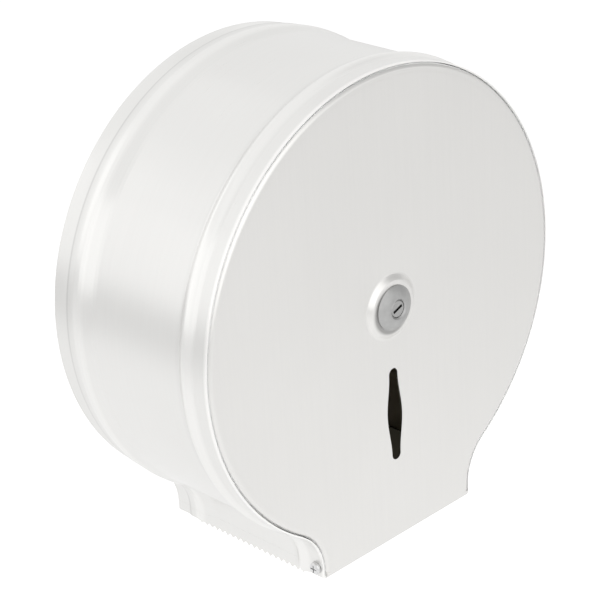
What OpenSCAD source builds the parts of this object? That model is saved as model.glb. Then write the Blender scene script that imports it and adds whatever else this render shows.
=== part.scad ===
// Jumbo toilet roll dispenser for one roll on a wall.
// A keyhole-shaped back pan carries a beaded steel drum, a hollow spindle with a
// turning core hub, and a keyhole-shaped door that swings down on two screws.
// Origin: wall plane, on the spindle's axis. The door faces -Y and +Z is up.

/* [Casing] */
// Distance from the wall to the door's flat face
depth = 120; // [110:1:150]
// Outer radius of the drum between its two beads
waist_r = 132; // [124:0.5:150]
// Steel of the drum
drum_t = 0.8; // [0.6:0.1:1.2]
// Rise of the two beads over the waist
bead_rise = 2.4; // [1.8:0.1:3.5]
// Rise of the drum's front band over the waist
band_rise = 0.5; // [0.3:0.1:1.0]
// Rise of the drum's back rim over the waist
rim_rise = 1.6; // [1.4:0.1:1.8]
// Distance from the wall to the drum's back rim
rim_h = 12.5; // [10:0.5:14]
// Distance from the door's face back to the drum's front edge
band_set_back = 1; // [0.6:0.1:2]

/* [Neck] */
// Outside width of the neck at the waist
neck_w = 119; // [110:1:130]
// Straight length of the neck below its hollow corners
neck_len = 5.6; // [5:0.1:30]
// Radius of the hollow corners where the drum meets the neck
corner_r = 32; // [20:1:40]

/* [Back pan] */
// Steel of the back pan
pan_t = 1.0; // [0.8:0.1:1.2]
// Depth of the back pan's flange
pan_flange = 20; // [17:0.5:22]
// Gap between the pan's flange and the drum's rim around it
pan_gap = 0.4; // [0.3:0.1:0.7]
// Rounding of the pan's edge at the wall
pan_edge_r = 1.4; // [1.4:0.1:3]
// Height of the pan's raised seats
seat_h = 5; // [4:0.5:6]
// Side-to-side distance between the wall screw holes
wall_pitch_x = 120; // [116:1:130]
// Up-and-down distance between the wall screw holes
wall_pitch_z = 110; // [100:1:120]
// Radius of the wall screw holes
wall_hole_r = 3; // [2.5:0.1:4]

/* [Door] */
// Steel of the door
door_t = 0.8; // [0.6:0.1:1.2]
// Gap between the door's skirt and the drum's front band
door_gap = 0.4; // [0.4:0.1:1.0]
// Rounding of the door's front edge
door_edge_r = 3; // [2:0.1:3.6]
// Depth of the door's skirt
skirt = 13; // [10:0.5:14]
// Depth of the door's bottom lip
bottom_lip = 6.5; // [5:0.5:8]
// Distance the door's bottom reaches below the neck walls
door_more = 1.3; // [0:0.1:2]
// Height of the raised seat for the lock
boss_rise = 2.7; // [2:0.1:3.5]
// Radius of the lock seat's foot
boss_foot_r = 19.2; // [18:0.1:22]
// Radius of the lock seat's top
boss_top_r = 14.6; // [14.6:0.1:16]

/* [View slot] */
// Length of the view slot
slot_len = 56; // [40:1:70]
// Width of the view slot at its ends
slot_end_w = 6.6; // [5:0.2:8]
// Width of the view slot at its middle
slot_mid_w = 11.6; // [9:0.2:14]
// Distance from the spindle's axis down to the slot's middle
slot_drop = 65; // [58:1:75]

/* [Door hinge] */
// Distance from the door's face back to the hinge axis
hinge_set_back = 6.5; // [6.2:0.1:9]
// Distance from the neck's bottom up to the hinge axis
hinge_up = 4.9; // [4.5:0.1:6]
// Radius of the pivot screws' shanks
pivot_r = 2; // [1.5:0.25:2.5]
// Radius of the pivot screws' heads
pivot_head_r = 3.5; // [3.2:0.1:4]
// Height of the pivot screws' heads
pivot_head_h = 2.2; // [1.8:0.1:2.8]

/* [Tear blades] */
// Thickness of the tear blades
blade_t = 1.0; // [0.8:0.1:1.5]
// Gap between the tear blades' front ends and the hinge nuts
blade_gap = 6.5; // [5.5:0.1:30]
// Distance from the wall to the blades' back ends
blade_h = 16.5; // [15:0.5:16.5]
// Height of the blades' flat part behind the neck walls
blade_tall = 24; // [18:1:28]
// Spacing of the teeth
tooth_pitch = 4.35; // [3.5:0.05:6]
// Height of the teeth
tooth_h = 2; // [1.5:0.1:4]
// Bare steel between the neck's bottom and the teeth
blade_show = 1.6; // [0.5:0.1:2.5]

/* [Drum clips] */
// Angle of the two upper clips above the horizontal
clip_up = 38; // [30:1:50]
// Angle of the two lower clips below the horizontal
clip_down = 25; // [15:1:30]
// Width of the clips
clip_w = 20; // [14:1:26]
// Steel of the clips
clip_t = 1.5; // [1.2:0.1:2]
// Distance from the spindle's axis to the clips' screws
clip_screw_r = 114; // [110:0.5:116]
// Distance from the wall to the clips' front ends
clip_reach = 46; // [44:1:60]

/* [Spindle] */
// Outer radius of the spindle tube
tube_r = 12.5; // [11.5:0.1:14]
// Wall of the spindle tube
tube_t = 1.5; // [1.2:0.1:2]
// Radius of the spindle's foot plate
foot_r = 38; // [36:1:44]
// Thickness of the spindle's foot plate
foot_t = 2.5; // [2.4:0.1:4]
// Radius of the circle of the foot plate's screws
foot_screw_r = 28; // [26:0.5:32]
// Number of the foot plate's screws
foot_screws = 4; // [3:1:6]
// Gap between the lock cam's front and the latch cap
latch_gap = 0.5; // [0.3:0.1:0.8]
// Thickness of the latch cap's face
cap_t = 1.5; // [1.2:0.1:2]
// Length of the latch cap's collar
cap_collar = 9; // [8:0.5:12]

/* [Core hub] */
// Outer radius of the hub's barrel
hub_r = 22; // [20:0.5:24]
// Outer radius of the hub's fins
fin_r = 27.5; // [25:0.5:29]
// Number of fins
fins = 6; // [4:1:8]
// Radius of the hub's back flange
hub_flange_r = 45; // [40:1:55]
// Wall of the hub's barrel, sleeve and fins
hub_t = 2; // [1.5:0.1:3]
// Thickness of the hub's back flange
hub_flange_t = 3; // [2:0.5:4]

/* [Lock] */
// Radius of the lock's head
head_r = 12.75; // [12:0.25:14]
// Rise of the lock's domed head over its seat
head_rise = 3.5; // [2.5:0.1:4.5]
// Thickness of the head's rim
head_rim = 0.9; // [0.6:0.1:1.2]
// Radius of the lock's threaded barrel
barrel_r = 9; // [8:0.25:9.5]
// Length of the lock's threaded barrel
barrel_len = 12.2; // [11:0.1:12.4]
// Radius of the key plug
plug_r = 5; // [4:0.1:5.5]
// Width of the key slot
key_w = 1.7; // [1.2:0.1:2.2]
// Length of the key slot
key_len = 7; // [5:0.1:7.5]
// Angle of the key slot
key_angle = 20; // [0:5:90]
// Gap between the tips of the cam's two arms and the spindle tube around them
cam_gap = 0.7; // [0.5:0.1:1.2]
// Distance from the door's face back to the cam's front
cam_set_back = 15.4; // [15:0.1:17]
// Width of the cam
cam_w = 7.4; // [6.5:0.1:7.8]
// Thickness of the cam
cam_t = 2; // [1.5:0.1:2.5]

/* [Hidden] */

$fn = 96;

// Clearances
fit = 0.05;
hole_slack = 0.25;
washer_slack = 0.1;
head_slack = 0.2;
running = 0.09;

// Steel colours
steel = "lightgray";
satin = "gainsboro";
zinc = "silver";
nylon = "ivory";

// Keyhole outline. A point at "grow" g lies g outside the waist's surface.
neck_half = neck_w / 2;
corner_x = neck_half + corner_r;
corner_d = waist_r + corner_r;
corner_y = -sqrt(corner_d * corner_d - corner_x * corner_x);
corner_a = atan2(corner_y, corner_x);
neck_drop = neck_len - corner_y;

// Drum section, as distances from the wall
band_h = depth - band_set_back;
band_flat = 8.7;
bead_front = band_h - band_flat;
crest_front = bead_front - 6.5;
root_front = crest_front - 6;
rim_flat = 3.5;
bead_back = rim_h + rim_flat;
crest_back = bead_back + 6;
root_back = crest_back + 12;
bead_steps = 5;

// How far the corners' sweeps sit inside the sheet and run on into their neighbours
tuck = 0.02;
tuck_angle = 0.2;

// Width of the strip of a pan's face that is swept along with its edge
face_strip = 3;

// Pan flange and door skirt, as grow values of their outer faces
pan_g = rim_rise - drum_t - pan_gap;
pan_more = 0.5;
skirt_g = band_rise - drum_t - door_gap;
door_drop = neck_drop + door_more;
seat_front = seat_h + pan_t;
seat_slope = 3;
clip_angles = [clip_up, 180 - clip_up, 180 + clip_down, 360 - clip_down];
centre_seat_r = foot_r + 8;
clip_seat_r = 8.5;
wall_holes = [for (x = [-1, 1], z = [-1, 1]) [x * wall_pitch_x / 2, z * wall_pitch_z / 2]];
foot_angles = [for (i = [0 : foot_screws - 1]) 45 + i * 360 / foot_screws];

// Small screws and their nuts, M4
m4_r = 2;
m4_head_r = 4;
m4_head_h = 2.4;
nut_r = 4;
nut_h = 2;
nut_neck_r = 2.7;

// Spindle and hub, as distances from the wall
foot_front = seat_front + foot_t;
washer_back_h = foot_front + 0.2;
washer_back_t = 1.5;
hub_back = washer_back_h + washer_back_t + 0.2;
washer_front_t = 1.2;
washer_r = 19;
plug_shoulder = depth + boss_rise - barrel_len - 1.5;
cam_r = tube_r - tube_t - cam_gap;
cam_front = depth - cam_set_back;
cam_back = cam_front - cam_t;
cap_back = cam_front + latch_gap;
cap_front = cap_back + cap_t;
cap_r = tube_r + fit + 1.65;
collar_back = cap_back - cap_collar;
washer_front_h = collar_back - 0.3 - washer_front_t;
hub_front = washer_front_h - 0.3;
cap_slot_w = cam_w + 0.8;
cap_slot_r = cam_r + 0.8;
cap_screw_h = cap_back - cap_collar / 2;
m3_r = 1.5;
m3_head_r = 2.75;
m3_head_h = 1.6;

// Hinge
hinge_h = depth - hinge_set_back;
hinge_y = hinge_up - neck_drop;
skirt_x = neck_half + skirt_g;
band_x = neck_half + band_rise;
hinge_nut_w = 7;
hinge_nut_t = 3;
washer_hinge_r = pivot_r + 0.8;

// Lock
seat_top = depth + boss_rise;
barrel_flat = barrel_r - 0.9;
dome_top_r = plug_r + 1.4;
dome_edge_r = head_r - 0.35;
dish = 0.8;
plug_front = seat_top + head_rise - dish;
tooth_washer_t = 0.6;
lock_nut_h = 4;
lock_nut_r = 13.6;
circlip_t = 0.8;
circlip_r = plug_r + 1.6;
groove_r = plug_r - 0.8;
stem_r = 3.2;
key_deep = 3;
stem_square = 4.4;
cam_washer_t = 0.6;
cam_washer_r = 3.6;

// Local frame: x across, y up, z out of the wall. It is turned to face -Y.
module on_wall() {
    rotate([90, 0, 0]) children();
}

// Half a smooth wave from (h0, g0) to (h1, g1), starting at its point number "first"
function wave(h0, g0, h1, g1, first = 0) =
    [for (i = [first : bead_steps])
        let (t = i / bead_steps)
        [g0 + (g1 - g0) * (1 - cos(180 * t)) / 2, h0 + (h1 - h0) * t]];

// Outer line of the drum's section from the back rim to the front band, set in by t
// and cut back by trim at both ends
function drum_line(t, trim) = concat(
    [[rim_rise - t, rim_h + trim]],
    wave(bead_back, rim_rise - t, crest_back, bead_rise - t),
    wave(crest_back, bead_rise - t, root_back, -t, first = 1),
    wave(root_front, -t, crest_front, bead_rise - t),
    wave(crest_front, bead_rise - t, bead_front, band_rise - t, first = 1),
    [[band_rise - t, band_h - trim]]);

// The drum's section, all its faces set in by "in"
function drum_section(in = 0) = concat(drum_line(in, in), reversed(drum_line(drum_t - in, in)));

function reversed(list) = [for (i = [len(list) - 1 : -1 : 0]) list[i]];

// A rounded corner of radius r around (x, y), from angle a0 to a1
function corner(x, y, r, a0, a1, steps = 8) =
    [for (i = [0 : steps])
        let (a = a0 + (a1 - a0) * i / steps)
        [x + r * cos(a), y + r * sin(a)]];

// Sweeps a section, drawn as (grow, distance from the wall), along the keyhole. The
// corners get a section that is set in a little, so that their ends sink into the rest.
module keyhole_sweep(section, corner_section, bottom) {
    rotate([0, 0, corner_a])
        rotate_extrude(angle = 180 - 2 * corner_a, $fn = 180)
            polygon([for (p = section) [waist_r + p[0], p[1]]]);
    for (side = [-1, 1]) {
        translate([side * corner_x, corner_y, 0])
            rotate([0, 0, (side > 0 ? 180 + corner_a : 0) - tuck_angle])
                rotate_extrude(angle = 2 * tuck_angle - corner_a)
                    polygon([for (p = corner_section) [corner_r - p[0], p[1]]]);
        translate([0, corner_y, 0])
            rotate([90, 0, 0])
                linear_extrude(bottom + corner_y)
                    polygon([for (p = section) [side * (neck_half + p[0]), p[1]]]);
    }
}

// Section of a pan's edge: flange from h0, rounded edge and a strip of the face at h1,
// all its faces set in by "in"
function pan_section(g, t, h0, h1, r, in = 0) = concat(
    [[g - in, h0 + in]],
    corner(g - r, h1 - r, r - in, 0, 90),
    [[g - r - face_strip + in, h1 - in], [g - r - face_strip + in, h1 - t + in]],
    corner(g - r, h1 - r, r - t + in, 90, 0),
    [[g - t + in, h0 + in]]);

// A pressed keyhole pan: flat face at h1, rounded edge, flange back to h0
module keyhole_pan(g, t, h0, h1, r, bottom) {
    face_g = g - r - face_strip / 2;
    face_corner = corner_r - face_g;
    side = [for (i = [0 : 3])
        let (a = 180 + corner_a * (i == 0 ? 1.08 : 1 - i / 3), out = i == 0 ? face_strip : 0)
        [corner_x + (face_corner + out) * cos(a), corner_y + (face_corner + out) * sin(a)]];
    keyhole_sweep(pan_section(g, t, h0, h1, r), pan_section(g, t, h0, h1, r, tuck), bottom);
    translate([0, 0, h1 - t]) {
        cylinder(r = waist_r + face_g, h = t, $fn = 180);
        linear_extrude(t)
            polygon(concat([[0, 0]], side, [[neck_half + face_g, -bottom], [-neck_half - face_g, -bottom]],
                [for (i = [3 : -1 : 0]) [-side[i][0], side[i][1]]]));
    }
}

// A round pressed seat of sheet t: foot and top radius, from height h to h + rise
module pressed_seat(foot, top, h, rise, t) {
    rotate_extrude()
        polygon([[0, h + rise - t], [top - t * 0.6, h + rise - t], [foot - t * 0.6, h - t],
            [foot + t, h - t], [foot + t, h], [foot, h], [top, h + rise], [0, h + rise]]);
}

// A plain ring
module ring(outer, inner, h) {
    difference() {
        cylinder(r = outer, h = h);
        translate([0, 0, -1]) cylinder(r = inner, h = h + 2);
    }
}

// A pan-head screw along +Z: its head sits on z = 0 and its shank runs down
module pan_screw(shank_r, length, head, head_h) {
    translate([0, 0, -length]) cylinder(r = shank_r, h = length);
    difference() {
        rotate_extrude()
            polygon(concat([[0, 0], [head, 0], [head, head_h * 0.35]],
                corner(head * 0.55, head_h * 0.35, head * 0.45, 0, 90, 5),
                [[0, head_h]]));
        translate([0, 0, head_h * 0.5]) cross_recess(head * 0.62);
    }
}

// A cross recess for a screwdriver
module cross_recess(r) {
    for (a = [0, 90])
        rotate([0, 0, a])
            translate([-r, -r * 0.17, 0])
                cube([2 * r, r * 0.34, r * 2]);
}

// Pressed and bent steel pan against the wall, open at the bottom of its neck
module back_pan() {
    bottom = neck_drop + pan_more;
    color(satin) on_wall()
        difference() {
            union() {
                difference() {
                    mirror([0, 0, 1])
                        keyhole_pan(pan_g, pan_t, -pan_flange, 0, pan_edge_r, bottom + 1);
                    translate([-waist_r, -bottom - 5, -1]) cube([2 * waist_r, 5, pan_flange + 2]);
                    translate([0, 0, -1]) cylinder(r = centre_seat_r + seat_slope, h = pan_t + 2);
                    at_clips() translate([0, 0, -1]) cylinder(r = clip_seat_r + seat_slope, h = pan_t + 2);
                }
                pressed_seat(centre_seat_r + seat_slope, centre_seat_r, pan_t, seat_h, pan_t);
                at_clips() pressed_seat(clip_seat_r + seat_slope, clip_seat_r, pan_t, seat_h, pan_t);
            }
            at_nuts() translate([0, 0, -1]) cylinder(r = nut_neck_r + fit, h = seat_front + 2);
            for (p = wall_holes)
                translate([p[0], p[1], -1]) cylinder(r = wall_hole_r, h = pan_t + 2);
        }
}

// Beaded drum with its two neck walls, bent from one strip
module drum_shell() {
    color(satin) on_wall()
        difference() {
            keyhole_sweep(drum_section(), drum_section(tuck), neck_drop);
            translate([-waist_r, hinge_y, hinge_h])
                rotate([0, 90, 0]) cylinder(r = pivot_r + fit, h = 2 * waist_r);
        }
}

// Serrated strip spot-welded inside a neck wall
module tear_blade() {
    blade_len = hinge_h - hinge_nut_w / 2 - blade_gap - blade_h;
    teeth = floor(blade_len / tooth_pitch + 0.001);
    margin = (blade_len - teeth * tooth_pitch) / 2;
    root = -neck_drop - blade_show;
    outline = concat(
        [[blade_h, -neck_drop + blade_tall], [blade_h, root]],
        [for (i = [0 : teeth - 1], k = [0 : 3])
            let (start = blade_h + margin + i * tooth_pitch,
                x = [0.02, 0.44, 0.56, 0.98][k], down = [0, 1, 1, 0][k])
            [start + x * tooth_pitch, root - down * tooth_h]],
        [[blade_h + blade_len, root], [blade_h + blade_len, -neck_drop + blade_tall]]);
    translate([neck_half - drum_t - blade_t, 0, 0])
        rotate([90, 0, 90])
            linear_extrude(blade_t)
                polygon([for (p = outline) [p[1], p[0]]]);
}

module tear_blade_right() {
    color(steel) on_wall() tear_blade();
}

module tear_blade_left() {
    color(steel) on_wall() mirror([1, 0, 0]) tear_blade();
}

// Places its children at each drum clip's screw
module at_clips() {
    for (a = clip_angles)
        rotate([0, 0, a]) translate([clip_screw_r, 0, 0]) children();
}

// Places its children at each screw of the spindle's foot
module at_foot_screws() {
    for (a = foot_angles)
        rotate([0, 0, a]) translate([foot_screw_r, 0, 0]) children();
}

module at_nuts() {
    at_clips() children();
    at_foot_screws() children();
}

// Angle clips that join the drum's waist to the back pan
module drum_clips() {
    outer = waist_r - drum_t;
    heel = outer - clip_t;
    half = asin(clip_w / 2 / outer);
    color(steel) on_wall()
        for (a = clip_angles)
            rotate([0, 0, a])
                difference() {
                    union() {
                        rotate([0, 0, -half])
                            rotate_extrude(angle = 2 * half)
                                translate([heel, seat_front]) square([clip_t, clip_reach - seat_front]);
                        intersection() {
                            translate([clip_screw_r - clip_seat_r, -clip_w / 2, seat_front])
                                cube([outer, clip_w, clip_t]);
                            cylinder(r = heel + clip_t / 2, h = depth);
                        }
                    }
                    translate([clip_screw_r, 0, 0]) cylinder(r = m4_r + hole_slack, h = depth);
                }
}

module clip_screws() {
    color(zinc) on_wall()
        at_clips()
            translate([0, 0, seat_front + clip_t])
                pan_screw(m4_r, clip_t + pan_t + nut_h, m4_head_r, m4_head_h);
}

// Nuts pressed into the back of the pan's seats
module clinch_nuts() {
    color(zinc) on_wall()
        at_nuts()
            difference() {
                union() {
                    translate([0, 0, seat_h - nut_h]) cylinder(r = nut_r, h = nut_h);
                    cylinder_from_to(nut_neck_r, seat_h - nut_h, seat_front);
                }
                cylinder(r = m4_r + fit, h = depth);
            }
}

module cylinder_from_to(r, h0, h1) {
    translate([0, 0, h0]) cylinder(r = r, h = h1 - h0);
}

// Round plate that carries the spindle tube
module spindle_foot() {
    color(steel) on_wall()
        difference() {
            cylinder_from_to(foot_r, seat_front, foot_front);
            cylinder_from_to(tube_r + fit, 0, depth);
            at_foot_screws() {
                cylinder(r = m4_r + hole_slack, h = depth);
                translate([0, 0, foot_front - csk_h()])
                    cylinder(r1 = m4_r + hole_slack, r2 = m4_head_r + hole_slack, h = csk_h());
            }
        }
}

function csk_h() = m4_head_r - m4_r;

module foot_screws_csk() {
    color(zinc) on_wall()
        at_foot_screws()
            difference() {
                union() {
                    cylinder_from_to(m4_r, seat_h - nut_h, foot_front - csk_h());
                    translate([0, 0, foot_front - csk_h()])
                        cylinder(r1 = m4_r, r2 = m4_head_r, h = csk_h());
                }
                translate([0, 0, foot_front - csk_h() * 0.7]) cross_recess(m4_head_r * 0.55);
            }
}

// Hollow spindle; the lock's cam turns inside its front end
module spindle_tube() {
    color(steel) on_wall()
        difference() {
            cylinder_from_to(tube_r, seat_front, cap_back);
            cylinder_from_to(tube_r - tube_t, 0, depth);
            at_cap_screws() cylinder(r = m3_r + fit, h = tube_r * 2);
        }
}

// Places its children along the two radial screws of the latch cap, +Z outwards
module at_cap_screws() {
    for (side = [-1, 1])
        translate([0, 0, cap_screw_h]) rotate([0, side * 90, 0]) children();
}

// Cap on the spindle's end; the cam passes its slot and turns behind it
module latch_cap() {
    color(zinc) on_wall()
        difference() {
            rotate_extrude()
                polygon(concat([[0, collar_back], [cap_r, collar_back]],
                    corner(cap_r - 1, cap_front - 1, 1, 0, 90, 4), [[0, cap_front]]));
            cylinder_from_to(tube_r + fit, 0, cap_back);
            translate([-cap_slot_w / 2, -cap_slot_r, 0]) cube([cap_slot_w, 2 * cap_slot_r, depth]);
            at_cap_screws() cylinder(r = m3_r + hole_slack, h = tube_r * 2);
        }
}

module cap_screws() {
    color(zinc) on_wall()
        at_cap_screws()
            translate([0, 0, cap_r + washer_slack])
                pan_screw(m3_r, cap_r + washer_slack - cam_r - 1, m3_head_r, m3_head_h);
}

// Moulded hub that turns on the spindle and carries the roll's core
module core_hub() {
    barrel_back = hub_back + hub_flange_t;
    bore = tube_r + running;
    color(nylon) on_wall()
        difference() {
            union() {
                rotate_extrude()
                    polygon([[bore, hub_back], [hub_flange_r, hub_back],
                        [hub_flange_r + 1, hub_back + 1], [hub_flange_r + 1, barrel_back + 1.5],
                        [hub_flange_r - 1, barrel_back + 1.5], [hub_flange_r - 1.5, barrel_back],
                        [hub_r, barrel_back], [hub_r, hub_front - 2], [hub_r - 2, hub_front],
                        [bore, hub_front], [bore, hub_front - 2], [hub_r - 2, hub_front - 2],
                        [hub_r - hub_t, hub_front - 3], [hub_r - hub_t, barrel_back],
                        [bore, barrel_back]]);
                difference() {
                    cylinder_from_to(bore + hub_t, hub_back, hub_front);
                    cylinder_from_to(bore, 0, depth);
                }
                for (i = [0 : fins - 1])
                    rotate([0, 0, i * 360 / fins])
                        translate([0, hub_t / 2, 0]) rotate([90, 0, 0]) linear_extrude(hub_t) {
                            polygon([[bore + hub_t / 2, barrel_back - 1],
                                [hub_r - hub_t / 2, barrel_back - 1],
                                [hub_r - hub_t / 2, hub_front - 1], [bore + hub_t / 2, hub_front - 1]]);
                            polygon([[hub_r - hub_t / 2, barrel_back - 1], [fin_r, barrel_back - 1],
                                [fin_r, hub_front - 14], [hub_r, hub_front - 4],
                                [hub_r - hub_t / 2, hub_front - 4]]);
                        }
            }
        }
}

module hub_back_washer() {
    color("white") on_wall()
        translate([0, 0, washer_back_h]) ring(washer_r, tube_r + running, washer_back_t);
}

module hub_front_washer() {
    color("white") on_wall()
        translate([0, 0, washer_front_h]) ring(washer_r, tube_r + running, washer_front_t);
}

// Outline of the view slot: narrow round ends and a wider middle
function slot_outline(n = 24) =
    let (end_r = slot_end_w / 2, half = slot_len / 2 - end_r,
        side = [for (i = [0 : n])
            let (z = -half + 2 * half * i / n,
                w = end_r + (slot_mid_w - slot_end_w) / 2 * (1 + cos(180 * z / half)) / 2)
            [w, z]])
    concat(side, corner(0, half, end_r, 15, 165, 10),
        [for (i = [n : -1 : 0]) [-side[i][0], side[i][1]]],
        corner(0, -half, end_r, 195, 345, 10));

// Lip that closes the bottom of the door's neck, with room for its edge's rounding
module door_lip() {
    half = neck_half + skirt_g - door_t / 2;
    back = depth - bottom_lip;
    front_y = door_edge_r - door_drop;
    translate([-half, 0, 0])
        rotate([90, 0, 90])
            linear_extrude(2 * half)
                polygon(concat([[-door_drop - 1, back], [door_t - door_drop, back]],
                    corner(front_y, depth - door_edge_r, door_edge_r - door_t, 180, 90),
                    [[front_y + 1, depth - door_t], [front_y + 1, depth], [-door_drop - 1, depth]]));
}

// Room above the door's bottom, with the rounding of the door's bottom edge
module above_bottom() {
    front_y = door_edge_r - door_drop;
    translate([-waist_r * 1.5, 0, 0])
        rotate([90, 0, 90])
            linear_extrude(waist_r * 3)
                polygon(concat([[-door_drop, 0]],
                    corner(front_y, depth - door_edge_r, door_edge_r, 180, 90),
                    [[front_y, depth + 5], [waist_r * 2, depth + 5], [waist_r * 2, 0]]));
}

// Line of the lock seat's slope, from its foot at height h up to its top
function seat_line(h) = [for (p = wave(boss_foot_r, h, boss_top_r, h + boss_rise)) [p[1], p[0]]];

// Soft round seat pressed out of the door for the lock
module lock_seat() {
    rotate_extrude()
        polygon(concat([[boss_foot_r + door_t, depth]], seat_line(depth),
            [[0, seat_top], [0, seat_top - door_t]],
            reversed(seat_line(depth - door_t)), [[boss_foot_r + door_t, depth - door_t]]));
}

// Pressed door with its lock seat and view slot
module door_panel() {
    color(satin) on_wall()
        difference() {
            union() {
                difference() {
                    intersection() {
                        union() {
                            keyhole_pan(skirt_g, door_t, depth - skirt, depth, door_edge_r, door_drop + 1);
                            door_lip();
                        }
                        above_bottom();
                    }
                    cylinder_from_to(boss_foot_r, depth - door_t - 1, depth + 1);
                }
                lock_seat();
            }
            intersection() {
                cylinder_from_to(barrel_r + fit, depth - 2, seat_top + 1);
                translate([-barrel_flat - fit, -barrel_r * 2, depth - 2])
                    cube([2 * (barrel_flat + fit), barrel_r * 4, boss_rise + 4]);
            }
            translate([0, -slot_drop, depth - 2]) linear_extrude(4) polygon(slot_outline());
            translate([-waist_r, hinge_y, hinge_h])
                rotate([0, 90, 0]) cylinder(r = pivot_r + fit, h = 2 * waist_r);
        }
}

// Places its children on both hinge axes, +Z pointing outwards from the neck
module at_hinges() {
    for (side = [0, 1])
        mirror([side, 0, 0])
            translate([0, hinge_y, hinge_h]) rotate([0, 90, 0]) children();
}

module hinge_nuts() {
    color(zinc) on_wall()
        at_hinges()
            translate([0, 0, skirt_x - door_t - hinge_nut_t])
                difference() {
                    translate([-hinge_nut_w / 2, -hinge_nut_w / 2, 0])
                        cube([hinge_nut_w, hinge_nut_w, hinge_nut_t]);
                    translate([0, 0, -1]) cylinder(r = pivot_r + fit, h = hinge_nut_t + 2);
                }
}

module hinge_washers() {
    color("white") on_wall()
        at_hinges()
            translate([0, 0, skirt_x + washer_slack])
                ring(washer_hinge_r, pivot_r + fit, band_x - drum_t - skirt_x - 2 * washer_slack);
}

module pivot_screws() {
    color(zinc) on_wall()
        at_hinges()
            translate([0, 0, band_x + head_slack])
                pan_screw(pivot_r, band_x + head_slack - skirt_x + door_t + hinge_nut_t,
                    pivot_head_r, pivot_head_h);
}

// Domed head and threaded barrel with two flats
module lock_housing() {
    dome = [for (i = [0 : 10])
        let (t = i / 10)
        [dome_edge_r + (dome_top_r - dome_edge_r) * t,
            head_rim + (head_rise - head_rim) * sin(90 * t)]];
    color("darkgray") on_wall()
        difference() {
            union() {
                translate([0, 0, seat_top])
                    rotate_extrude()
                        polygon(concat([[0, 0], [head_r, 0], [head_r, head_rim - 0.35]], dome,
                            [[0, head_rise]]));
                intersection() {
                    cylinder_from_to(barrel_r, seat_top - barrel_len, seat_top);
                    translate([-barrel_flat, -barrel_r, seat_top - barrel_len])
                        cube([2 * barrel_flat, 2 * barrel_r, barrel_len]);
                }
            }
            cylinder_from_to(plug_r + fit, depth / 2, depth * 2);
            translate([0, 0, plug_front])
                cylinder(r1 = plug_r + fit, r2 = plug_r + fit + dish * 2, h = dish * 2);
        }
}

module lock_washer() {
    color(zinc) on_wall()
        translate([0, 0, seat_top - door_t - tooth_washer_t])
            ring(barrel_r + 3.5, barrel_r + fit, tooth_washer_t);
}

module lock_nut() {
    color(zinc) on_wall()
        translate([0, 0, seat_top - door_t - tooth_washer_t - lock_nut_h])
            difference() {
                cylinder(r = lock_nut_r, h = lock_nut_h, $fn = 6);
                translate([0, 0, -1]) cylinder(r = barrel_r + fit, h = lock_nut_h + 2);
            }
}

// Turning plug with its key slot, clip groove and square tail
module key_plug() {
    groove_h = seat_top - barrel_len - circlip_t - 0.2;
    color(zinc) on_wall()
        difference() {
            union() {
                rotate_extrude()
                    polygon([[0, plug_shoulder], [plug_r, plug_shoulder], [plug_r, groove_h],
                        [groove_r, groove_h], [groove_r, groove_h + circlip_t + 0.1],
                        [plug_r, groove_h + circlip_t + 0.1], [plug_r, plug_front - 0.5],
                        [plug_r - 0.5, plug_front], [0, plug_front]]);
                cylinder_from_to(stem_r, cam_front, plug_shoulder);
                translate([-stem_square / 2, -stem_square / 2, cam_back])
                    cube([stem_square, stem_square, cam_t]);
            }
            translate([0, 0, plug_front - key_deep])
                rotate([0, 0, key_angle])
                    translate([-key_len / 2, -key_w / 2, 0]) cube([key_len, key_w, key_deep + 1]);
            cylinder_from_to(m3_r + fit, cam_back - 1, cam_back + 7);
        }
}

module plug_circlip() {
    color(zinc) on_wall()
        translate([0, 0, seat_top - barrel_len - circlip_t - 0.15])
            difference() {
                ring(circlip_r, groove_r + fit, circlip_t);
                translate([-1.5, 0, -1]) cube([3, circlip_r * 2, circlip_t + 2]);
            }
}

// Two-armed cam on the plug's tail; upright, it passes the latch cap's slot
module lock_cam() {
    color(zinc) on_wall()
        translate([0, 0, cam_back])
            difference() {
                intersection() {
                    cylinder(r = cam_r, h = cam_t);
                    translate([-cam_w / 2, -cam_r, 0]) cube([cam_w, 2 * cam_r, cam_t]);
                }
                translate([-stem_square / 2 - fit, -stem_square / 2 - fit, -1])
                    cube([stem_square + 2 * fit, stem_square + 2 * fit, cam_t + 2]);
            }
}

module cam_washer() {
    color(zinc) on_wall()
        translate([0, 0, cam_back - cam_washer_t])
            ring(cam_washer_r, m3_r + fit, cam_washer_t);
}

module cam_screw() {
    color(zinc) on_wall()
        translate([0, 0, cam_back - cam_washer_t])
            mirror([0, 0, 1]) pan_screw(m3_r, cam_washer_t + 6, m3_head_r, m3_head_h);
}

back_pan();
drum_shell();
tear_blade_left();
tear_blade_right();
drum_clips();
clip_screws();
clinch_nuts();
spindle_foot();
foot_screws_csk();
spindle_tube();
latch_cap();
cap_screws();
core_hub();
hub_back_washer();
hub_front_washer();
door_panel();
hinge_nuts();
hinge_washers();
pivot_screws();
lock_housing();
lock_washer();
lock_nut();
key_plug();
plug_circlip();
lock_cam();
cam_washer();
cam_screw();
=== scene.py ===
import bpy
from mathutils import Matrix, Vector


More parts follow.
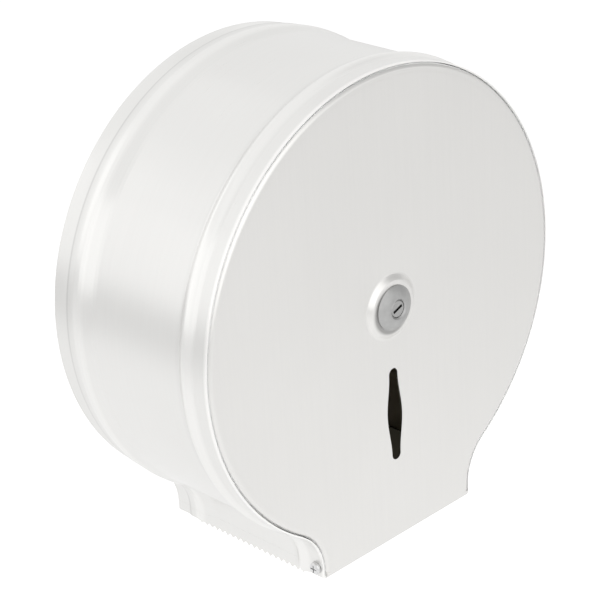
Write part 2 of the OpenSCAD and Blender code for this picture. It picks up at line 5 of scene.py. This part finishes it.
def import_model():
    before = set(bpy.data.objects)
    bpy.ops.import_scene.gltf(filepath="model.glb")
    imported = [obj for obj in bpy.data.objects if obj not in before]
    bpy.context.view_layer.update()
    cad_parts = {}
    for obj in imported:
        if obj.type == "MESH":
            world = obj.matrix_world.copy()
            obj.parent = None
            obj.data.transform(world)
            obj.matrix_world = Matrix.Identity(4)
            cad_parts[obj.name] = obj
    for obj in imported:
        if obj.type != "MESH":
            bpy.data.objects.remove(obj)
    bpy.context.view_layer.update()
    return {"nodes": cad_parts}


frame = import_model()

# Camera, in metres: where it stands, its axes and its lens in millimetres
CAMERA_PLACE = Vector((-0.7346, -0.8242, 0.4768))
CAMERA_RIGHT = Vector((0.7056, -0.7063, -0.0570))
CAMERA_UP = Vector((0.3338, 0.2604, 0.9060))
CAMERA_LENS = 126.38
SENSOR_WIDTH = 36.0
CLIP_NEAR, CLIP_FAR = 0.01, 100.0

FLOOR_Z = -0.50
FLOOR_SIZE = 24.0
FLOOR_COLOUR = (0.86, 0.86, 0.86, 1)
FLOOR_ROUGH = 0.9
WHITE = (1, 1, 1, 1)

# Light that the world gives, and how it shows to the eye and in reflections
WORLD_LIGHT = 0.62
WORLD_SEEN = 1.0
# A dimmer patch of the studio that polished slopes reflect: its way, the cosines at
# which it starts and is full, and how much it takes away
DIM_WAY = Vector((0.74, -0.38, 0.56)).normalized()
DIM_START, DIM_FULL = 0.80, 0.93
DIM_LOSS = 0.42

# What the floor adds of its own for reflections, and for the eye on top of that
FLOOR_GLOSS = 0.285
FLOOR_EYE = 0.22
# Pools of light on the floor, for reflections: x, y, inner and outer radius, change
POOLS = (
    (-0.15, 0.20, 0.70, 1.60, 0.08),
    (0.68, 0.32, 0.16, 0.42, 0.30),
)

# Softboxes: place, width and height in metres, power in watts, shown in reflections
MIDDLE = Vector((0.0, -0.06, 0.0))
SOFTBOXES = {
    "key": ((-0.446, -1.58, 0.66), (2.30, 1.90), 5.2, True),
    "left": ((-1.478, 0.391, 0.414), (1.26, 1.10), 0.96, True),
    "side": ((-0.579, 1.373, 0.414), (0.80, 1.10), 0.69, True),
    "back": ((-0.176, 1.19, 1.14), (1.30, 0.80), 0.22, True),
    "overhead": ((-0.15, 0.20, 1.50), (1.40, 1.20), 5.0, False),
}

# Painted shade for the inside of casing and blades, as a dark colour, and the matt bare steel of hems
# and backs
INSIDE_PAINTED_SHADE = (0.225, 0.197, 0.148, 1)
BLADE_PAINTED_SHADE = (0.030, 0.026, 0.014, 1)
MILL = (0.96, 0.96, 0.955, 1)
INSIDE_ROUGH = 0.85
# Where that painted shade stops: below this height on the tear blades, and in front of this
# plane on the drum
BLADE_BARE = ("Z", -0.1405)
DRUM_BARE = ("Y", -0.103)
# The door is bare on both sides, and brushed in front of this plane only
ALL_BARE = ("Y", 1.0)
DOOR_FRONT = ("Y", -0.1187)
# Painted shade: a soft dark crescent on the seat below the lock's head, where the head shades it:
# the middle it is drawn from, the distances at which it starts and is full, and its tone
SHADE_CRESCENT_MIDDLE = (-0.00153, -0.122, -0.00129)
SHADE_CRESCENT = (0.0146, 0.0122, 1.0, 0.5)
# Painted shade on the slot's cut edge, as dark as the painted inside: between these planes, this near to
# it
CUT_FRONT = ("Y", -0.11985)
CUT_BACK = ("Y", -0.11925)
CUT_NEAR = ((0.0, -0.12, -0.04), 0.061, 0.060, 0.0, 1.0)

# Painted tone along the drum's depth, at distances from the wall in millimetres: painted shade at
# the back rim and in the hollow before the front bead, painted highlights on the two beads' crests
# and on the front edge
DRUM_PAINTED_TONE = ((12.3, 0.64), (13.6, 0.79), (17.0, 0.83), (18.5, 0.88), (24.0, 0.88), (26.5, 0.83),
             (95.5, 0.83), (98.0, 0.80), (100.0, 0.83), (101.8, 0.89), (107.8, 0.89),
             (110.0, 0.83), (116.8, 0.83), (118.6, 1.00))
# The same for the back pan: painted shade where its flange enters the drum
PAN_PAINTED_SHADE = ((0.0, 0.83), (10.4, 0.83), (11.6, 0.58), (13.0, 0.48))
TONE_DEPTH = 120.0

# The middle part of a noise's range, which tints and roughness use
NOISE_LOW, NOISE_HIGH = 0.25, 0.75
TINT_LOW, TINT_HIGH = 0.3, 0.7
# Brushed steel: wide scratches as a share of the fine ones' cycles, the clouding's cycles
# per metre, the weights of wide over fine and of clouding over both, the tints' range, the
# roughness's range either way, the relief in metres and the stretch of the shine
WIDE_SHARE = 0.22
CLOUDING = (14.0, 14.0, 14.0)
WIDE_WEIGHT, CLOUD_WEIGHT = 0.4, 0.35
BRUSHED_DARK, BRUSHED_LIGHT = 0.975, 1.02
BRUSHED_SPREAD = 0.04
BRUSHED_RELIEF = 1.5e-6
BRUSHED_STRETCH = 0.7
# Specular level of the inside that carries painted shade
SHADED_INSIDE_SPECULAR = 0.2
# Plate: cycles per metre, the shares of them that mottle and pits have, tints, roughness's
# range and relief
PLATE_SCALE = 900.0
MOTTLE_SHARE, PIT_SHARE = 0.2, 4
PLATE_DARK, PLATE_LIGHT = 0.9, 1.05
PLATE_SPREAD = 0.06
PLATE_RELIEF = 4e-6
# Moulded plastic: cycles per metre of grain and clouding, tint, roughness's range, relief
GRAIN_SCALE, HAZE_SCALE = 2200.0, 40.0
MOULDED_DARK = 0.95
MOULDED_SPREAD = 0.05
MOULDED_RELIEF = 1e-5


# ---------------------------------------------------------------- materials

def shader(name):
    """A new material with its node tree and its Principled shader."""
    mat = bpy.data.materials.new(name)
    mat.use_nodes = True
    tree = mat.node_tree
    return mat, tree, tree.nodes["Principled BSDF"]


def noise(tree, scale, detail=3.0, rough=0.5):
    """Noise on the part's own coordinates, scaled along X, Y and Z per metre."""
    coords = tree.nodes.new("ShaderNodeTexCoord")
    mapping = tree.nodes.new("ShaderNodeMapping")
    mapping.inputs["Scale"].default_value = scale
    tex = tree.nodes.new("ShaderNodeTexNoise")
    tex.inputs["Scale"].default_value = 1.0
    tex.inputs["Detail"].default_value = detail
    tex.inputs["Roughness"].default_value = rough
    tree.links.new(coords.outputs["Object"], mapping.inputs["Vector"])
    tree.links.new(mapping.outputs["Vector"], tex.inputs["Vector"])
    return tex.outputs["Fac"]


def spread(tree, value, low, high):
    """Maps a 0 to 1 value onto low to high."""
    node = tree.nodes.new("ShaderNodeMapRange")
    node.inputs["From Min"].default_value = NOISE_LOW
    node.inputs["From Max"].default_value = NOISE_HIGH
    node.inputs["To Min"].default_value = low
    node.inputs["To Max"].default_value = high
    tree.links.new(value, node.inputs["Value"])
    return node.outputs["Result"]


def tint(tree, value, dark, light):
    """A colour that runs from dark to light with a 0 to 1 value."""
    node = tree.nodes.new("ShaderNodeValToRGB")
    low, high = node.color_ramp.elements
    low.position, low.color = TINT_LOW, (*dark, 1)
    high.position, high.color = TINT_HIGH, (*light, 1)
    tree.links.new(value, node.inputs["Fac"])
    return node.outputs["Color"]


def blend_values(tree, a, b, weight):
    """A weighted mean of two values."""
    node = tree.nodes.new("ShaderNodeMix")
    node.inputs["Factor"].default_value = weight
    tree.links.new(a, node.inputs[2])
    tree.links.new(b, node.inputs[3])
    return node.outputs[0]


def maths(tree, operation, a, b):
    """One operation on a value and a second value or plain number."""
    node = tree.nodes.new("ShaderNodeMath")
    node.operation = operation
    tree.links.new(a, node.inputs[0])
    if isinstance(b, (int, float)):
        node.inputs[1].default_value = b
    else:
        tree.links.new(b, node.inputs[1])
    return node.outputs[0]


def bump(tree, bsdf, value, depth):
    """Fine relief of the given depth in metres."""
    node = tree.nodes.new("ShaderNodeBump")
    node.inputs["Strength"].default_value = 1.0
    node.inputs["Distance"].default_value = depth
    tree.links.new(value, node.inputs["Height"])
    tree.links.new(node.outputs["Normal"], bsdf.inputs["Normal"])


def before(tree, plane):
    """1 where a place lies past a plane, given as an axis and a height on it, else 0."""
    axis, limit = plane
    coords = tree.nodes.new("ShaderNodeTexCoord")
    parts = tree.nodes.new("ShaderNodeSeparateXYZ")
    tree.links.new(coords.outputs["Object"], parts.inputs[0])
    return maths(tree, "LESS_THAN", parts.outputs[axis], limit)


def outward(tree):
    """1 where a face looks away from the casing's middle, else 0."""
    coords = tree.nodes.new("ShaderNodeTexCoord")
    arm = tree.nodes.new("ShaderNodeVectorMath")
    arm.operation = "SUBTRACT"
    arm.inputs[1].default_value = MIDDLE
    tree.links.new(coords.outputs["Object"], arm.inputs[0])
    dot = tree.nodes.new("ShaderNodeVectorMath")
    dot.operation = "DOT_PRODUCT"
    tree.links.new(coords.outputs["Normal"], dot.inputs[0])
    tree.links.new(arm.outputs["Vector"], dot.inputs[1])
    return maths(tree, "GREATER_THAN", dot.outputs["Value"], 0.0)


def painted_depth_tone(tree, painted_stops):
    """A painted grey of highlight and shade that changes with the distance from the wall."""
    coords = tree.nodes.new("ShaderNodeTexCoord")
    parts = tree.nodes.new("ShaderNodeSeparateXYZ")
    tree.links.new(coords.outputs["Object"], parts.inputs[0])
    ramp = tree.nodes.new("ShaderNodeValToRGB")
    tree.links.new(maths(tree, "MULTIPLY", parts.outputs["Y"], -1000.0 / TONE_DEPTH), ramp.inputs["Fac"])
    points = ramp.color_ramp.elements
    while len(points) < len(painted_stops):
        points.new(0.5)
    for point, (distance, level) in zip(points, painted_stops):
        point.position = distance / TONE_DEPTH
        point.color = (level, level, level, 1)
    return ramp.outputs["Color"]


def fade(tree, value, start, full, low, high):
    """Smooth step from low at start to high at full."""
    node = tree.nodes.new("ShaderNodeMapRange")
    node.interpolation_type = "SMOOTHSTEP"
    node.inputs["From Min"].default_value = start
    node.inputs["From Max"].default_value = full
    node.inputs["To Min"].default_value = low
    node.inputs["To Max"].default_value = high
    tree.links.new(value, node.inputs["Value"])
    return node.outputs["Result"]


def patch(tree, middle, start, full, low, high):
    """A round soft patch about a place: low from start outward, high inside full."""
    coords = tree.nodes.new("ShaderNodeTexCoord")
    reach = tree.nodes.new("ShaderNodeVectorMath")
    reach.operation = "DISTANCE"
    reach.inputs[1].default_value = middle
    tree.links.new(coords.outputs["Object"], reach.inputs[0])
    return fade(tree, reach.outputs["Value"], start, full, low, high)


def times(tree, a, b):
    """The product of two colours."""
    node = tree.nodes.new("ShaderNodeMix")
    node.data_type = "RGBA"
    node.blend_type = "MULTIPLY"
    node.inputs["Factor"].default_value = 1.0
    tree.links.new(a, node.inputs[6])
    tree.links.new(b, node.inputs[7])
    return node.outputs[2]


def mix_colours(tree, a, b, mask):
    """Colour a where the mask is 0 and b where it is 1, each plain or linked."""
    node = tree.nodes.new("ShaderNodeMix")
    node.data_type = "RGBA"
    tree.links.new(mask, node.inputs["Factor"])
    for place, colour in ((6, a), (7, b)):
        if isinstance(colour, tuple):
            node.inputs[place].default_value = colour
        else:
            tree.links.new(colour, node.inputs[place])
    return node.outputs[2]


def paint_inside_shade(tree, bsdf, colour, rough, front, bare, inside_shade):
    """Brushed steel outside; inside, painted shade as a dark colour, or matt steel where it stays bare.
    """
    brushed_here = before(tree, front) if front else outward(tree)
    bare_here = before(tree, bare) if bare else brushed_here
    # painted shade: a dark colour on the inside, matt steel where it stays bare
    inside = mix_colours(tree, inside_shade, MILL, bare_here)
    tree.links.new(mix_colours(tree, inside, colour, brushed_here), bsdf.inputs["Base Color"])
    matt = tree.nodes.new("ShaderNodeMix")
    matt.inputs[2].default_value = INSIDE_ROUGH
    tree.links.new(brushed_here, matt.inputs["Factor"])
    tree.links.new(rough, matt.inputs[3])
    tree.links.new(matt.outputs[0], bsdf.inputs["Roughness"])
    tree.links.new(maths(tree, "MAXIMUM", brushed_here, bare_here), bsdf.inputs["Metallic"])
    bsdf.inputs["Specular IOR Level"].default_value = SHADED_INSIDE_SPECULAR


def paint_door_shade(tree, shade):
    """Paints shade into a colour: the crescent below the lock's head and the slot's dark cut edge."""
    shade = times(tree, shade, patch(tree, SHADE_CRESCENT_MIDDLE, *SHADE_CRESCENT))
    within = maths(tree, "SUBTRACT", before(tree, CUT_BACK), before(tree, CUT_FRONT))
    cut = maths(tree, "MULTIPLY", within, patch(tree, *CUT_NEAR))
    return mix_colours(tree, shade, BLADE_PAINTED_SHADE, cut)


def shine_across(tree, bsdf, axis, turn):
    """Stretches the shine across the scratches."""
    tangent = tree.nodes.new("ShaderNodeTangent")
    tangent.direction_type = "RADIAL"
    tangent.axis = axis
    tree.links.new(tangent.outputs["Tangent"], bsdf.inputs["Tangent"])
    bsdf.inputs["Anisotropic"].default_value = BRUSHED_STRETCH
    bsdf.inputs["Anisotropic Rotation"].default_value = turn


def scaled(colour, level):
    """A colour made darker or lighter, up to white."""
    return tuple(min(c * level, 1) for c in colour)


def brushed(name, grain, axis, turn, colour, rough, front=None, bare=None, painted_stops=None,
            inside_shade=INSIDE_PAINTED_SHADE):
    """Brushed steel. Grain gives the scratches' cycles per metre along X, Y and Z, and
    axis and turn lay the shine across them. In front of the plane front it is brushed,
    or outside where there is none, and elsewhere it gets painted shade as a dark inside colour,
    which stops past the plane bare. Painted stops add painted highlight and shade along
    the depth, and a front plane adds the door's painted shade."""
    mat, tree, bsdf = shader(name)
    fine = noise(tree, grain, 4.0, 0.7)
    wide = noise(tree, tuple(g * WIDE_SHARE for g in grain), 2.0)
    cloud = noise(tree, CLOUDING, 2.0)
    streak = blend_values(tree, fine, wide, WIDE_WEIGHT)
    tone = blend_values(tree, streak, cloud, CLOUD_WEIGHT)
    shade = tint(tree, tone, scaled(colour, BRUSHED_DARK), scaled(colour, BRUSHED_LIGHT))
    if painted_stops:
        # painted highlight and shade along the depth
        shade = times(tree, shade, painted_depth_tone(tree, painted_stops))
    if front:
        # painted shade on the door: the crescent below the lock and the slot's cut edge
        shade = paint_door_shade(tree, shade)
    roughness = spread(tree, streak, rough - BRUSHED_SPREAD, rough + BRUSHED_SPREAD)
    paint_inside_shade(tree, bsdf, shade, roughness, front, bare, inside_shade)
    bump(tree, bsdf, streak, BRUSHED_RELIEF)
    shine_across(tree, bsdf, axis, turn)
    return mat


def plated(name, colour, rough, size=PLATE_SCALE):
    """Zinc or nickel plate: faintly mottled, with fine pitting."""
    mat, tree, bsdf = shader(name)
    mottle = noise(tree, (size * MOTTLE_SHARE,) * 3, 3.0)
    pits = noise(tree, (size * PIT_SHARE,) * 3, 2.0)
    shade = tint(tree, mottle, scaled(colour, PLATE_DARK), scaled(colour, PLATE_LIGHT))
    tree.links.new(shade, bsdf.inputs["Base Color"])
    roughness = spread(tree, pits, rough - PLATE_SPREAD, rough + PLATE_SPREAD)
    tree.links.new(roughness, bsdf.inputs["Roughness"])
    bsdf.inputs["Metallic"].default_value = 1.0
    bump(tree, bsdf, pits, PLATE_RELIEF)
    return mat


def moulded(name, colour, rough):
    """Moulded plastic with a fine spark-eroded texture."""
    mat, tree, bsdf = shader(name)
    grain = noise(tree, (GRAIN_SCALE,) * 3, 2.0)
    haze = noise(tree, (HAZE_SCALE,) * 3, 2.0)
    tree.links.new(tint(tree, haze, scaled(colour, MOULDED_DARK), colour), bsdf.inputs["Base Color"])
    roughness = spread(tree, grain, rough - MOULDED_SPREAD, rough + MOULDED_SPREAD)
    tree.links.new(roughness, bsdf.inputs["Roughness"])
    bump(tree, bsdf, grain, MOULDED_RELIEF)
    return mat


def dress(mat, *nodes):
    """Gives CAD nodes a material."""
    for name in nodes:
        for slot in frame["nodes"][name].material_slots:
            slot.material = mat


STEEL = (0.812, 0.804, 0.786)
# Steel lighter than plain steel, so the painted highlight and shade tones can take it lighter and darker
LIFTED_STEEL = (0.972, 0.966, 0.948)
UPRIGHT = (2400.0, 2400.0, 45.0)
ROUND = (45.0, 2400.0, 45.0)
face_steel = brushed("face_steel", UPRIGHT, "Z", 0.0, STEEL, 0.32, DOOR_FRONT, ALL_BARE)
drum_steel = brushed("drum_steel", ROUND, "Y", 0.25, LIFTED_STEEL, 0.30, bare=DRUM_BARE, painted_stops=DRUM_PAINTED_TONE)
pan_steel = brushed("pan_steel", UPRIGHT, "Z", 0.0, LIFTED_STEEL, 0.32, painted_stops=PAN_PAINTED_SHADE)
blade_steel = brushed("blade_steel", (900.0, 45.0, 2400.0), "Z", 0.0, STEEL, 0.30, bare=BLADE_BARE,
                      inside_shade=BLADE_PAINTED_SHADE)
bracket_steel = plated("bracket_steel", (0.62, 0.63, 0.64), 0.42)
fastener_zinc = plated("fastener_zinc", (0.66, 0.67, 0.68), 0.32)
screw_steel = plated("screw_steel", (0.72, 0.72, 0.72), 0.24, 1500.0)
lock_nickel = plated("lock_nickel", (0.47, 0.47, 0.465), 0.46)
plug_nickel = plated("plug_nickel", (0.44, 0.44, 0.435), 0.30)
nylon = moulded("nylon", (0.84, 0.83, 0.79), 0.45)
acetal = moulded("acetal", (0.88, 0.88, 0.86), 0.38)

dress(face_steel, "door_panel")
dress(drum_steel, "drum_shell")
dress(pan_steel, "back_pan")
dress(blade_steel, "tear_blade_left", "tear_blade_right")
dress(bracket_steel, "drum_clips", "spindle_foot", "spindle_tube")
dress(fastener_zinc, "clip_screws", "clinch_nuts", "foot_screws_csk", "latch_cap", "cap_screws",
      "hinge_nuts", "lock_washer", "lock_nut", "plug_circlip", "lock_cam", "cam_washer", "cam_screw")
dress(screw_steel, "pivot_screws")
dress(lock_nickel, "lock_housing")
dress(plug_nickel, "key_plug")
dress(nylon, "core_hub")
dress(acetal, "hub_back_washer", "hub_front_washer", "hinge_washers")


# ---------------------------------------------------------------- stage

def ray_kinds(tree):
    """1 for camera rays, and 1 for camera, glossy and transmission rays."""
    path = tree.nodes.new("ShaderNodeLightPath")
    eye = path.outputs["Is Camera Ray"]
    seen = maths(tree, "MAXIMUM", eye, path.outputs["Is Glossy Ray"])
    return eye, maths(tree, "MAXIMUM", seen, path.outputs["Is Transmission Ray"])


def build_floor():
    """A wide pale floor that keeps the part's shadow and shows white."""
    half = FLOOR_SIZE / 2
    mesh = bpy.data.meshes.new("floor")
    corners = [(x, y, FLOOR_Z) for x, y in ((-half, -half), (half, -half), (half, half), (-half, half))]
    mesh.from_pydata(corners, [], [(0, 1, 2, 3)])
    floor = bpy.data.objects.new("floor", mesh)
    bpy.context.scene.collection.objects.link(floor)
    mat, tree, bsdf = shader("floor_pale")
    bsdf.inputs["Base Color"].default_value = FLOOR_COLOUR
    bsdf.inputs["Roughness"].default_value = FLOOR_ROUGH
    bsdf.inputs["Emission Color"].default_value = WHITE
    eye, seen = ray_kinds(tree)
    glow = maths(tree, "MULTIPLY", seen, FLOOR_GLOSS)
    for x, y, inner, outer, change in POOLS:
        pool = patch(tree, (x, y, FLOOR_Z), outer, inner, 0.0, change)
        glow = maths(tree, "ADD", glow, maths(tree, "MULTIPLY", seen, pool))
    lift = maths(tree, "ADD", glow, maths(tree, "MULTIPLY", eye, FLOOR_EYE))
    tree.links.new(maths(tree, "MAXIMUM", lift, 0.0), bsdf.inputs["Emission Strength"])
    mesh.materials.append(mat)


def build_world():
    """White to the eye and in reflections, a little less as light."""
    world = bpy.data.worlds.new("studio")
    world.use_nodes = True
    bpy.context.scene.world = world
    tree = world.node_tree
    back = tree.nodes["Background"]
    back.inputs["Color"].default_value = WHITE
    eye, seen = ray_kinds(tree)
    level = tree.nodes.new("ShaderNodeMapRange")
    level.inputs["To Min"].default_value = WORLD_LIGHT
    level.inputs["To Max"].default_value = WORLD_SEEN
    tree.links.new(seen, level.inputs["Value"])
    coords = tree.nodes.new("ShaderNodeTexCoord")
    way = tree.nodes.new("ShaderNodeVectorMath")
    way.operation = "DOT_PRODUCT"
    way.inputs[1].default_value = DIM_WAY
    tree.links.new(coords.outputs["Generated"], way.inputs[0])
    dim = fade(tree, way.outputs["Value"], DIM_START, DIM_FULL, 0.0, DIM_LOSS)
    dim = maths(tree, "MULTIPLY", maths(tree, "SUBTRACT", seen, eye), dim)
    tree.links.new(maths(tree, "SUBTRACT", level.outputs["Result"], dim), back.inputs["Strength"])


def softbox(name, place, size, power, shown):
    """A rectangular area lamp at place, pointed at the part's middle."""
    data = bpy.data.lights.new(name, "AREA")
    data.shape = "RECTANGLE"
    data.size, data.size_y = size
    data.energy = power
    lamp = bpy.data.objects.new(name, data)
    bpy.context.scene.collection.objects.link(lamp)
    lamp.visible_glossy = shown
    way = MIDDLE - Vector(place)
    lamp.matrix_world = Matrix.Translation(place) @ way.to_track_quat("-Z", "Y").to_matrix().to_4x4()


def build_camera():
    """The photograph's camera."""
    data = bpy.data.cameras.new("camera")
    data.lens = CAMERA_LENS
    data.sensor_width = SENSOR_WIDTH
    data.sensor_fit = "HORIZONTAL"
    data.clip_start = CLIP_NEAR
    data.clip_end = CLIP_FAR
    camera = bpy.data.objects.new("camera", data)
    bpy.context.scene.collection.objects.link(camera)
    right = CAMERA_RIGHT.normalized()
    back = right.cross(CAMERA_UP).normalized()
    up = back.cross(right)
    axes = Matrix((right, up, back)).transposed().to_4x4()
    camera.matrix_world = Matrix.Translation(CAMERA_PLACE) @ axes
    bpy.context.scene.camera = camera


build_floor()
build_world()
for box_name, settings in SOFTBOXES.items():
    softbox(box_name, *settings)
build_camera()
bpy.context.scene.view_settings.view_transform = "Standard"
